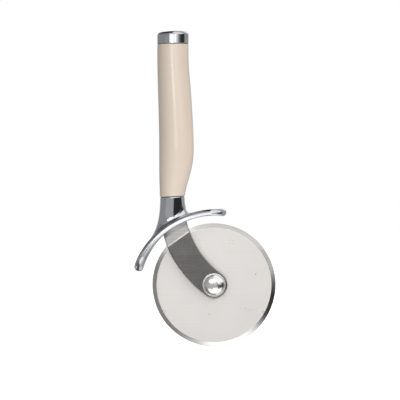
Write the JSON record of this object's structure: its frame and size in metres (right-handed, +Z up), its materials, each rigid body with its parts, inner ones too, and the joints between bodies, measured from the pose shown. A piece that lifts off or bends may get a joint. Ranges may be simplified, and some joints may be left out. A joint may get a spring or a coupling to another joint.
{
  "type": "pastry cutter wheel",
  "caption": "Hand-held rolling cutter: a bevelled steel disc turns in a curved steel fork under a chromed finger guard, with a slim cream handle and a chromed end cap.",
  "frame": {"origin": "the point where the blade's rim meets the worktop, straight under the axle, in the blade's mid-plane", "axes": "+Z up along the handle, +Y along the axle, away from the side seen first, +X the way the guard's longer reach over the top of the blade points"},
  "size_m": [0.1032, 0.024, 0.2308],
  "materials": {
    "blade_steel": "finely brushed, semi-bright",
    "bush_brass": "turned, satin",
    "washer_steel": "stamped, satin",
    "axle_steel": "turned, satin",
    "dome_steel": "polished",
    "fork_steel": "brushed across the limb, satin",
    "tang_steel": "forged, plain",
    "guard_chrome": "mirror polished",
    "seal_rubber": "matt black",
    "grip_cream": "glossy almond cream",
    "core_plastic": "moulded, matt",
    "fastener_steel": "zinc plated",
    "cap_chrome": "mirror polished"
  },
  "bodies": {
    "frame": {"guard_bolster": "guard_chrome", "front_fork_arm": "fork_steel", "rear_fork_arm": "fork_steel", "tang_rod": "tang_steel", "tang_rivets": "tang_steel", "bolster_gasket": "seal_rubber", "handle_dowels": "tang_steel", "handle_grip": "grip_cream", "handle_core": "core_plastic", "tie_washer": "fastener_steel", "lock_washer": "fastener_steel", "tie_nut": "fastener_steel", "cap_seal_ring": "seal_rubber", "end_cap_plug": "core_plastic", "end_cap_shell": "cap_chrome", "axle_barrel": "axle_steel", "axle_screw": "axle_steel", "front_axle_dome": "dome_steel", "rear_axle_dome": "dome_steel", "front_spacer_washer": "washer_steel", "rear_spacer_washer": "washer_steel"},
    "wheel": {"blade": "blade_steel", "front_hub_bush": "bush_brass", "rear_hub_bush": "bush_brass"}
  },
  "joints": [
    {"name": "blade_spin", "type": "hinge", "parent": "frame", "child": "wheel", "pos_m": [0, 0, 0.045], "axis": [0, 1, 0], "continuous": true}
  ]
}
